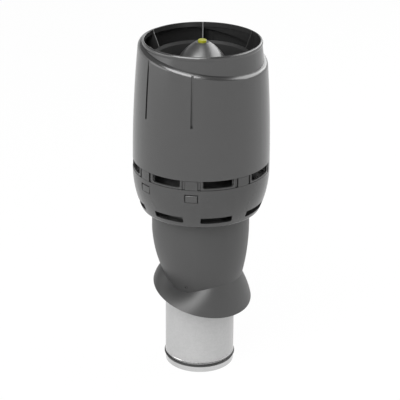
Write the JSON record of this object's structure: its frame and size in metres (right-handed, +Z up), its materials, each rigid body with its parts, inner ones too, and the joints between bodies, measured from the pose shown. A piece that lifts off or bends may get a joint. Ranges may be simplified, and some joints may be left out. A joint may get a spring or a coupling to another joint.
{
  "type": "roof ventilation pipe",
  "caption": "Insulated roof exhaust pipe: steel duct in a narrowing casing with a slanted skirt, under an upward blowing hood with a bell and guide blades.",
  "frame": {"origin": "on the duct's axis at its lower end", "axes": "+Z up along the duct, +X to the low side of the roof, so XZ is the mirror plane"},
  "size_m": [0.3086, 0.3086, 0.787],
  "materials": {
    "duct_steel": "galvanised, smooth",
    "spigot_steel": "bright rolled sheet",
    "seal_rubber": "matt",
    "casing_plastic": "matt moulding",
    "bowl_plastic": "matt moulding",
    "shell_plastic": "matt moulding",
    "guide_plastic": "matt moulding",
    "insulation_foam": "bead foam",
    "ring_plastic": "matt moulding",
    "bell_grey": "satin",
    "cap_yellow": "satin",
    "fastener_steel": "zinc plated"
  },
  "bodies": {
    "root": {"inner_duct": "duct_steel", "spigot_coupler": "spigot_steel", "spigot_seal": "seal_rubber", "outer_casing": "casing_plastic", "insulation_left": "insulation_foam", "insulation_right": "insulation_foam", "lower_centering_ring": "ring_plastic", "upper_centering_ring": "ring_plastic", "duct_collar_seal": "seal_rubber", "hood_bowl": "bowl_plastic", "collar_screws": "fastener_steel", "hood_shell": "shell_plastic", "air_guide": "guide_plastic", "rain_bell": "bell_grey", "bell_bolt": "fastener_steel", "bolt_washer": "fastener_steel", "bell_cap": "cap_yellow"}
  },
  "joints": []
}
